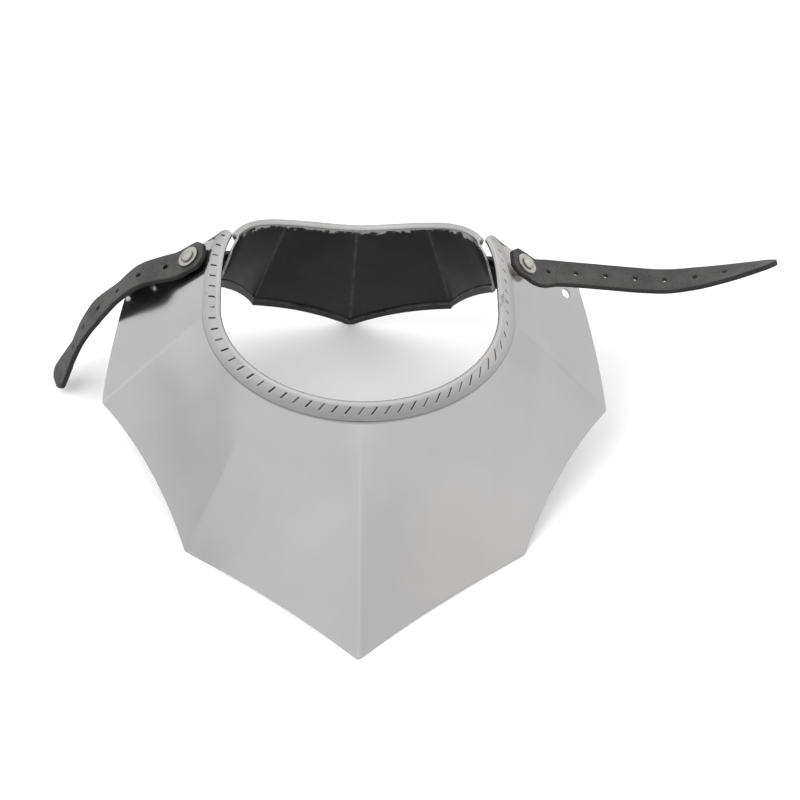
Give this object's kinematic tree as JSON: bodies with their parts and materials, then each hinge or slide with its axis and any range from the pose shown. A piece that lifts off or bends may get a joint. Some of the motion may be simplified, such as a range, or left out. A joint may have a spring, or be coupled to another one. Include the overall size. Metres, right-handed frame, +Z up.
{
  "type": "gorget",
  "caption": "Steel gorget: pointed front plate with soft ridges and a rolled, notched neck rim, curved back plate, and riveted leather shoulder straps.",
  "frame": {"origin": "under the middle of the overall bounding box, on the surface that the gorget stands on", "axes": "+X to the wearer's left (a front viewer's right), -Y to the front of the gorget, +Z up"},
  "size_m": [0.4046, 0.2538, 0.109],
  "materials": {
    "plate_steel": "satin polished steel outside, black satin paint inside",
    "strap_leather": "black leather, cut edges left plain",
    "rivet_steel": "bright nickel-like steel"
  },
  "bodies": {
    "root": {"front_plate": "plate_steel", "back_plate": "plate_steel", "strap_left": "strap_leather", "strap_right": "strap_leather", "washer_left": "rivet_steel", "washer_right": "rivet_steel", "rivet_left": "rivet_steel", "rivet_right": "rivet_steel"}
  },
  "joints": []
}
